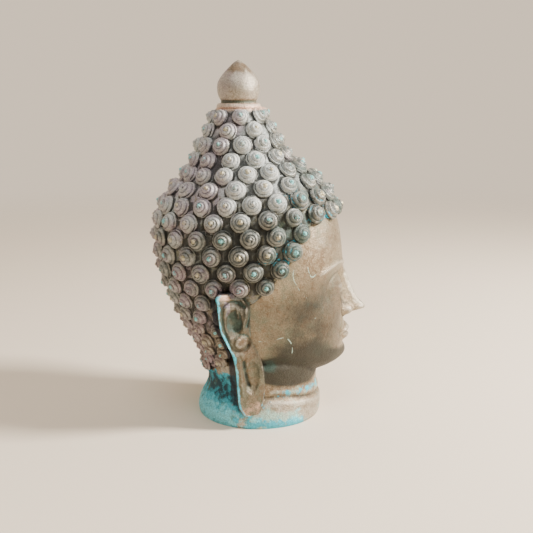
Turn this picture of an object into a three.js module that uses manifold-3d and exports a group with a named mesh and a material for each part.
// A cast bronze head of a buddha: one casting with snail-shell curls, a bud finial, long ears and a flared neck.
// Millimetres, +Z up. The face looks along -Y, and the origin is the centre of the flat underside.
import * as THREE from "three";
import { mergeVertices } from "three/addons/utils/BufferGeometryUtils.js";
import Module from "manifold-3d";

// Overall sizes
const headHeight = 320; // underside to the tip of the bud
const leastDetail = 0.35; // facets that differ by less than this are merged
const underRadius = 56; // flat underside of the neck

// Neck
const flareRadius = 57.2; // widest part of the foot of the neck
const neckRadius = 50.6;
const neckSetForward = 3; // how far the neck's axis leans to the front of the underside's centre
const foldDepth = 1.8; // the crease round the front of the neck

// Face, on three equal thirds from the hairline to the chin
const hairlineHeight = 184; // of the hairline's middle above the underside
const faceThird = 47;
const faceWidth = 128; // five eye widths
const noseRise = 21;
const lipRise = 4.4;
const browRise = 1.8;

// Hair
const capThickness = 2; // the cap of hair stands this much above the skin
const curlRadius = 8.7; // of the largest curl at its foot
const curlRise = 8; // of the largest curl above the cap
const curlSides = 5;
const shoulderRise = 0.35; // height of a curl's widest part above the cap, in curl radii
const curlRoot = 2.2; // depth of the point where its tapering foot would end, in curl radii
const rowTilt = 3.5; // degrees, the rows of curls drop towards the back
const rowPitch = 1.535; // distance between rows, in curl radii
const curlPitch = 2.45; // distance along a row, in curl radii
const edgeGap = 0.6; // from a row's last curl to the hairline, in curl radii

// Finial
const finialSetBack = 17.6; // axis of the topknot and the bud, behind the underside's centre
const collarRadius = 19.6;
const collarThickness = 5;
const budRadius = 18.8;
const budHeight = 34.5;
const budStemRadius = 15.6;
const budStemHeight = 2.5;

// Ears, from the top of the rim down to the tip of the lobe
const earTop = 128;
const lobeTip = 13;
const earThickness = 6;
const bowlDepth = 6;
const slotDepth = 3;

const bronze = { color: 0x7d705c, roughness: 0.5, metalness: 0.85 };

const rad = THREE.MathUtils.degToRad;
const { clamp, smoothstep } = THREE.MathUtils;

// A smooth curve through [position, value] knots, held level past both ends.
function curveThrough(knots) {
  const slope = (i) => {
    const a = knots[Math.max(i - 1, 0)];
    const b = knots[Math.min(i + 1, knots.length - 1)];
    return (b[1] - a[1]) / (b[0] - a[0]);
  };
  return (at) => {
    const x = clamp(at, knots[0][0], knots.at(-1)[0]);
    let i = 0;
    while (i < knots.length - 2 && x > knots[i + 1][0]) i++;
    const [x0, y0] = knots[i];
    const [x1, y1] = knots[i + 1];
    const w = x1 - x0;
    const t = (x - x0) / w;
    const cubic = 2 * t ** 3 - 3 * t ** 2 + 1;
    return (
      cubic * y0 +
      (1 - cubic) * y1 +
      (t ** 3 - 2 * t ** 2 + t) * w * slope(i) +
      (t ** 3 - t ** 2) * w * slope(i + 1)
    );
  };
}

// Values from a to b in equal steps, with b left out.
const span = (a, b, count) => Array.from({ length: count }, (_, i) => a + ((b - a) * i) / count);

const bell = (distance, width) => Math.exp(-((distance / width) ** 2));

// The larger of two values, rounded over where they are closer than `width`.
function softMax(a, b, width) {
  const h = clamp(0.5 + (0.5 * (a - b)) / width, 0, 1);
  return b + (a - b) * h + width * h * (1 - h);
}

// Skull, jaw and topknot without the hair: how far the form reaches to the front, the back and the sides of
// the underside's centre at each height, all as shares of the head's height.
const share = (rows) => curveThrough(rows.map(([at, reach]) => [at * headHeight, reach * headHeight]));
const reachFront = share([
  [0.1, 0.215], [0.16, 0.232], [0.25, 0.237], [0.34, 0.236], [0.43, 0.237], [0.5, 0.233],
  [0.575, 0.217], [0.63, 0.19], [0.665, 0.163], [0.7, 0.122], [0.74, 0.068], [0.8, 0.034], [0.86, -0.002],
]);
const reachBack = share([
  [0.13, 0.13], [0.19, 0.152], [0.27, 0.197], [0.375, 0.243], [0.44, 0.264], [0.54, 0.275],
  [0.6, 0.262], [0.645, 0.238], [0.675, 0.207], [0.72, 0.176], [0.79, 0.144], [0.86, 0.112],
]);
const reachSide = share([
  [0.13, 0.15], [0.19, 0.165], [0.27, 0.187], [0.375, 0.204], [0.45, 0.21], [0.54, 0.208],
  [0.6, 0.194], [0.645, 0.176], [0.69, 0.15], [0.74, 0.118], [0.8, 0.092], [0.86, 0.067],
]);
const axisOffset = share([[0.5, 0.03], [0.62, 0.035], [0.7, 0.05], [0.76, 0.055]]);

// The jaw's lower edge rises from the chin to the ears; the section fades to nothing there.
const chinHeight = hairlineHeight - 3 * faceThird;
const jawEdge = curveThrough([[0, chinHeight - 9], [22, chinHeight - 6], [50, chinHeight + 2], [85, chinHeight + 6],
  [110, chinHeight - 10], [180, chinHeight - 20]]);
const jawRounding = 22;

// Distance from the head's axis to the skin of skull and jaw, at an angle from the front and a height.
function skullRadius(angle, z) {
  const c = Math.cos(rad(angle));
  const s = Math.abs(Math.sin(rad(angle)));
  const axis = axisOffset(z);
  const depth = c > 0 ? reachFront(z) + axis : reachBack(z) - axis;
  const power = c > 0 ? 2.15 : 2.05;
  const section = ((s / reachSide(z)) ** power + (Math.abs(c) / depth) ** power) ** (-1 / power);
  const under = clamp((jawEdge(Math.abs(angle)) + jawRounding - z) / jawRounding, 0, 1);
  return section * (1 - under ** 2.6) ** (1 / 2.6);
}

// The neck is round, with a flared foot whose lower edge is rounded in to the underside.
const neckProfile = curveThrough([[0, underRadius], [4, flareRadius], [11, flareRadius - 0.6], [18, neckRadius + 4],
  [24, neckRadius + 1.7], [31, neckRadius], [60, neckRadius]]);
const neckLean = (z) => neckSetForward * smoothstep(z, 0, 36);
const foldHeight = (angle) => 20 + 7 * smoothstep(Math.abs(angle), 15, 70);

function neckRadiusAt(angle, z) {
  const lean = neckLean(z) + axisOffset(z);
  const c = Math.cos(rad(angle));
  const r = neckProfile(z);
  const centred = lean * c + Math.sqrt(Math.max(r * r - (lean * Math.sin(rad(angle))) ** 2, 0));
  const front = 1 - smoothstep(Math.abs(angle), 70, 95);
  return centred - foldDepth * front * bell(z - foldHeight(angle), 1.9);
}

// The face, as a rise towards the front over the plain form, from the distance off the middle and the height.
const browHeight = hairlineHeight - faceThird;
const noseHeight = browHeight - faceThird;
const eyeWidth = faceWidth / 5;
const browLine = (x) => browHeight + 8 - 0.0133 * (x - 1.15 * eyeWidth) ** 2;
const mouthHeight = noseHeight - faceThird / 3;

function noseRiseAt(x, z) {
  const t = clamp((browHeight - 4 - z) / (faceThird - 10), 0, 1);
  const ridge = (4 + (noseRise - 4) * t ** 1.15) * smoothstep(z, noseHeight - 1.5, noseHeight + 6.5);
  const flat = 2.4 + 2.2 * t;
  const flank = 5.5 + 1.8 * t;
  const across = smoothstep(flat + flank - x, 0, flank);
  const root = smoothstep(browHeight + 1 - z, -3, 7);
  const wing = Math.max(1 - ((x - 9) / 6) ** 2 - ((z - noseHeight - 4.5) / 6) ** 2, 0) ** 0.5;
  return softMax(ridge * across * root, 11 * wing, 2);
}

function eyeRiseAt(x, z) {
  const brow = browLine(x);
  const side = smoothstep(x, 5, 13) * (1 - smoothstep(x, 30, 56));
  const hollow = -5 * side * smoothstep(brow - z, 0, 11) * smoothstep(z, browHeight - 33, browHeight - 16);
  const oval = Math.max(1 - ((x - eyeWidth) / 15.5) ** 2 - ((z - browHeight + 15) / 9.5) ** 2, 0);
  const slitHeight = browHeight - 21 + 0.011 * (x - eyeWidth + 3) ** 2;
  const inEye = smoothstep(x, 11.5, 15) * (1 - smoothstep(x, 36, 41));
  const slit = -1.4 * inEye * bell(z - slitHeight + 1.2, 1.5);
  const ridge = browRise * bell(z - brow, 2.4) * (1 - smoothstep(x, 48, 58));
  return hollow + 5 * oval ** 0.6 + slit + ridge;
}

function mouthRiseAt(x, z) {
  const line = mouthHeight + 2 * (x / 20) ** 2;
  const upper = clamp((z - line) / (7.5 - 5 * (x / 21) ** 2), 0, 1);
  const lower = clamp((line - z) / (9.5 - 8 * (x / 20) ** 2), 0, 1);
  const taper = Math.max(1 - (x / 21) ** 2, 0) ** 0.5;
  const lips = lipRise * taper * Math.max(Math.sin(Math.PI * (z > line ? upper : lower)), 0) ** 0.8;
  const parting = -2 * (1 - smoothstep(x, 18, 22)) * bell(z - line, 1.3);
  const muzzle = 4 * bell(x, 25) * bell(z - mouthHeight, 16);
  const chin = 5 * bell(x, 14) * bell(z - chinHeight - 11, 9);
  const cleft = -1.8 * bell(x, 12) * bell(z - chinHeight - 21, 3.5);
  return muzzle + lips + parting + chin + cleft;
}

const cheekRise = (x, z) => 2.5 * bell(x - 38, 17) * bell(z - noseHeight - 4, 18);
const faceRise = (x, z) => noseRiseAt(x, z) + eyeRiseAt(x, z) + mouthRiseAt(x, z) + cheekRise(x, z);

// A point of the bare casting, without curls, ears and finial. `swell` moves it out or in along its own radius.
function skinPoint(angle, z, swell = 0) {
  const neck = neckRadiusAt(angle, z) * (1 - smoothstep(z, 50, 110));
  const r = softMax(skullRadius(angle, z), neck, 5) + swell;
  const x = r * Math.sin(rad(angle));
  const facing = 1 - smoothstep(Math.abs(angle), 62, 85);
  const rise = facing > 0 ? facing * faceRise(Math.abs(x), z) * smoothstep(z, 30, chinHeight + 4) : 0;
  return new THREE.Vector3(x, axisOffset(z) - r * Math.cos(rad(angle)) - rise, z);
}

// A closed solid from rings of points, listed upwards, with a centre point under the first and over the last.
function ringsToGeometry(rings) {
  const count = rings[0].length;
  const centre = (ring) => ring.reduce((sum, p) => sum.add(p), new THREE.Vector3()).divideScalar(count);
  const points = [...rings.flat(), centre(rings[0]), centre(rings.at(-1))];
  const faces = [];
  for (let i = 0; i < count; i++) {
    const j = (i + 1) % count;
    faces.push(rings.length * count, j, i);
    const top = (rings.length - 1) * count;
    faces.push(rings.length * count + 1, top + i, top + j);
    for (let k = 0; k + 1 < rings.length; k++) {
      const [a, b, c, d] = [k * count + i, k * count + j, (k + 1) * count + j, (k + 1) * count + i];
      faces.push(a, b, c, a, c, d);
    }
  }
  return new THREE.BufferGeometry().setFromPoints(points).setIndex(faces);
}

const wasm = await Module();
wasm.setup();

function toSolid(geometry) {
  const bare = geometry.clone();
  bare.deleteAttribute("normal");
  bare.deleteAttribute("uv");
  const merged = mergeVertices(bare, 1e-4);
  return new wasm.Manifold(
    new wasm.Mesh({
      numProp: 3,
      vertProperties: merged.attributes.position.array,
      triVerts: new Uint32Array(merged.index.array),
    }),
  );
}

function toGeometry(solid) {
  const { numProp, vertProperties, triVerts } = solid.getMesh();
  const positions = new Float32Array((vertProperties.length / numProp) * 3);
  for (let i = 0; i * numProp < vertProperties.length; i++) {
    positions.set(vertProperties.subarray(i * numProp, i * numProp + 3), i * 3);
  }
  const geometry = new THREE.BufferGeometry().setAttribute("position", new THREE.BufferAttribute(positions, 3));
  geometry.setIndex(new THREE.BufferAttribute(triVerts, 1));
  geometry.computeVertexNormals();
  return geometry;
}

// Mirrored angles from the front, so that both sides have the same facets.
const bothSides = (half) => [...half.map((a) => -a).filter((a) => a < 0 && a > -180).reverse(), ...half];

// Face and neck: fine over the face, coarse and drawn in behind it, where the cap of hair covers it. The rows of
// facets follow the jaw's lower edge.
function makeFace() {
  const angles = bothSides([...span(0, 10, 3), ...span(10, 34, 7), ...span(34, 64, 3), ...span(64, 97, 2),
    ...span(97, 180, 3), 180]);
  const rowsAt = (angle) => {
    const jaw = jawEdge(Math.abs(angle)) + 1;
    return [
      ...span(0, 12, 2),
      ...span(12, jaw, 5),
      ...span(jaw, noseHeight, 9),
      ...span(noseHeight, noseHeight + 10, 3),
      ...span(noseHeight + 10, browHeight - 24, 2),
      ...span(browHeight - 24, browHeight + 10, 8),
      ...span(browHeight + 10, hairlineHeight + 6, 3),
      hairlineHeight + 6,
    ];
  };
  const behind = (angle) => smoothstep(Math.abs(angle), 97, 110);
  const drawnIn = (angle, z) => -5 * behind(angle) * smoothstep(z, chinHeight + 10, chinHeight + 22);
  const columns = angles.map((a) => rowsAt(a).map((z) => skinPoint(a, z, drawnIn(a, z))));
  return toSolid(ringsToGeometry(columns[0].map((_, row) => columns.map((column) => column[row]))));
}

// The hair ends on this line, given as a height at each angle from the front.
const hairline = curveThrough([[0, hairlineHeight], [25, hairlineHeight + 2], [44, hairlineHeight], [56, 171],
  [63, 156], [72, 141], [80, 130], [86, 123], [92, 117], [113, 110], [120, 62], [130, 54], [150, 46], [180, 44]]);
const topknotTop = headHeight - budHeight - budStemHeight - collarThickness;

// The cap of hair under the curls. It stands proud above the hairline and lies hidden inside the skin below it.
function makeCap() {
  const angles = bothSides(span(0, 180, 8).concat(180));
  const heights = [...span(36, hairlineHeight, 5), ...span(hairlineHeight, topknotTop, 4), topknotTop + 0.5];
  const swell = (angle, z) => {
    const inHair = smoothstep(z - hairline(Math.abs(angle)), -3, 3);
    return inHair * (capThickness + 5) - 5;
  };
  return toSolid(ringsToGeometry(heights.map((z) => angles.map((a) => skinPoint(a, z, swell(a, z))))));
}

// Curls get smaller towards the nape and a little smaller under the finial.
const curlSize = curveThrough([[40, 0.78], [80, 0.82], [140, 1], [240, 1], [272, 0.9]]);

// Half of a row of curls, as lengths along the cap from in front to the back.
function halfRow(pointAt) {
  const points = Array.from({ length: 181 }, (_, angle) => pointAt(angle));
  const lengths = [0];
  for (let i = 1; i <= 180; i++) lengths.push(lengths[i - 1] + points[i].distanceTo(points[i - 1]));
  const angleAt = (length) => {
    let i = 1;
    while (i < 180 && lengths[i] < length) i++;
    return i - (lengths[i] - length) / (lengths[i] - lengths[i - 1]);
  };
  return { points, lengths, angleAt };
}

// Each curl's place on the cap. The rows lie one above the other, each half a curl on from the last. Rings run
// right round the head, in fours so that rows stay staggered, and lower rows from the hairline on one side round
// the back to the other.
function curlPlaces() {
  const places = [];
  const edge = Array.from({ length: 91 }, (_, i) => skinPoint(2 * i, hairline(2 * i), capThickness));
  const tilt = Math.tan(rad(rowTilt));
  let height = topknotTop - 0.7 * curlRadius;
  for (let row = 0; height > 40; row++) {
    const size = curlRadius * curlSize(height);
    const zAt = (angle) => height + tilt * skullRadius(angle, height) * Math.cos(rad(angle));
    const { points, lengths, angleAt } = halfRow((angle) => skinPoint(angle, zAt(angle), capThickness));
    const clear = (i) => points[i].z > hairline(i) && edge.every((p) => p.distanceTo(points[i]) > edgeGap * size);
    let first = 180;
    while (first > 0 && clear(first)) first--;
    if (first > 170) break;
    const shift = 0.5 * (row % 2);
    const length = lengths[180] - lengths[first];
    const fitting = length / (curlPitch * size);
    if (first > 0) {
      const count = Math.round(fitting - shift);
      const pitch = length / (count + shift);
      for (let i = 0; i <= count && first < 180; i++) {
        const angle = angleAt(lengths[first] + i * pitch);
        places.push({ angle, z: zAt(angle), size });
        if (angle < 179.5) places.push({ angle: -angle, z: zAt(angle), size });
      }
    } else {
      const inRing = 2 * Math.round(fitting / 2);
      for (let i = 0; i <= inRing - 2 * shift; i++) {
        const angle = angleAt(((i + shift) / inRing) * length);
        places.push({ angle, z: zAt(angle), size });
        if (angle > 0.5 && angle < 179.5) places.push({ angle: -angle, z: zAt(angle), size });
      }
    }
    const here = skinPoint(110, height);
    let next = height;
    while (skinPoint(110, next).distanceTo(here) < rowPitch * size && next > 0) next -= 0.5;
    height = next;
  }
  return places;
}

// A curl is a low pointed shell with a few sides to its shoulder. Its foot narrows to a point deep inside.
function makeCurl({ angle, z, size }) {
  const foot = skinPoint(angle, z, capThickness);
  const across = skinPoint(angle + 2, z, capThickness).sub(skinPoint(angle - 2, z, capThickness));
  const up = skinPoint(angle, z + 3, capThickness).sub(skinPoint(angle, z - 3, capThickness));
  const out = across.clone().cross(up).normalize();
  const side = across.normalize();
  const over = out.clone().cross(side);
  const turns = Array.from({ length: curlSides }, (_, i) => (Math.PI * (2 * i + 1)) / curlSides);
  const shoulder = turns.map((turn) =>
    foot.clone()
      .addScaledVector(side, size * Math.cos(turn))
      .addScaledVector(over, size * Math.sin(turn))
      .addScaledVector(out, shoulderRise * size),
  );
  const geometry = ringsToGeometry([shoulder]);
  const middle = shoulder.length;
  const inside = foot.clone().addScaledVector(out, -curlRoot * size);
  const top = foot.clone().addScaledVector(out, (curlRise * size) / curlRadius);
  geometry.attributes.position.setXYZ(middle, inside.x, inside.y, inside.z);
  geometry.attributes.position.setXYZ(middle + 1, top.x, top.y, top.z);
  return toSolid(geometry);
}

// Collar, stem and lotus bud, turned about the topknot's axis.
function makeFinial() {
  const collarTop = topknotTop + collarThickness;
  const budBase = collarTop + budStemHeight;
  const profile = [
    [0, topknotTop - 8], [collarRadius - 3, topknotTop - 8], [collarRadius - 3, topknotTop - 0.5],
    [collarRadius, topknotTop + 1], [collarRadius - 1, collarTop],
    [budStemRadius, collarTop], [budStemRadius, budBase],
    [budRadius - 0.6, budBase + 0.16 * budHeight], [budRadius, budBase + 0.34 * budHeight],
    [0.82 * budRadius, budBase + 0.6 * budHeight], [0.38 * budRadius, budBase + 0.88 * budHeight], [0, headHeight],
  ].map(([r, z]) => new THREE.Vector2(r, z));
  const geometry = new THREE.LatheGeometry(profile, 16);
  geometry.rotateX(Math.PI / 2);
  geometry.translate(0, finialSetBack, 0);
  return toSolid(geometry);
}

// The ear is a slanting plate. Its front edge lies on the cheek and its rear rim stands free of the head. Down
// the ear, `s` runs from 0 at the top to 1 at the lobe's tip, and across it `c` runs from -1 in front to 1.
const earFront = curveThrough([[0, 20], [0.035, 17.5], [0.104, 13.6], [0.19, 13], [0.296, 13], [0.4, 11], [0.487, 6.5],
  [0.583, 2.4], [0.678, 0.4], [0.774, -0.4], [0.835, 0], [0.892, 1.4], [0.953, 3.6], [0.991, 6.5], [1, 11.5]]);
const earRear = curveThrough([[0, 41], [0.035, 43.4], [0.148, 42.3], [0.278, 40], [0.365, 35.8], [0.487, 29.8], [0.583, 27.4],
  [0.687, 26.3], [0.817, 25.4], [0.913, 24.2], [0.97, 21], [0.991, 18.5], [1, 13.5]]);
const earRoot = curveThrough([[0, 66], [0.096, 65.5], [0.243, 62], [0.296, 61], [0.417, 58], [0.522, 55], [0.626, 53],
  [0.748, 51.9], [0.852, 52.8], [1, 55]]);
const earStandOff = curveThrough([[0, 12], [0.096, 14.5], [0.417, 13], [0.635, 8.5], [0.852, 6.5], [1, 4]]);

function earRelief(c, s) {
  const along = smoothstep(s, 0.06, 0.14) * (1 - smoothstep(s, 0.36, 0.44));
  const bowl = bowlDepth * bell(c - 0.05, 0.42) * along;
  const slot = slotDepth * bell(c - 0.1, 0.32) * smoothstep(s, 0.54, 0.6) * (1 - smoothstep(s, 0.78, 0.86));
  return bowl + slot;
}

function makeEar(side) {
  const levels = [0, 0.04, 0.1, 0.18, 0.29, 0.38, 0.45, 0.54, 0.6, 0.79, 0.88, 0.95, 0.985, 1];
  const rings = levels.map((s) => {
    const point = (c, depth) => {
      const across = (c + 1) / 2;
      const x = earRoot(s) + earStandOff(s) * across - depth;
      const y = earFront(s) + (earRear(s) - earFront(s)) * across;
      return new THREE.Vector3(side * x, y, earTop - (earTop - lobeTip) * s);
    };
    const rounding = (c) => 1.8 * Math.abs(c) ** 6;
    const outer = [-1, -0.6, -0.3, 0.05, 0.45, 0.75, 1].map((c) => point(c, earRelief(c, s) + rounding(c)));
    const filled = s < 0.05 ? 14 : earThickness;
    const inner = [point(1, filled), point(0, filled + 6), point(-1, 12)];
    const loop = [...outer, ...inner];
    return side > 0 ? loop : loop.reverse();
  });
  return toSolid(ringsToGeometry(rings.reverse()));
}

// Joins a list of solids two at a time.
const join = (solids) => solids.reduce((all, one) => all.add(one));

const curls = curlPlaces().map(makeCurl);
const casting = join([makeFace(), makeCap(), makeFinial(), makeEar(-1), makeEar(1), join(curls)]).simplify(leastDetail);
const mesh = new THREE.Mesh(toGeometry(casting), new THREE.MeshStandardMaterial(bronze));
mesh.name = "bronze_head";

const head = new THREE.Group();
head.add(mesh);
export default head;
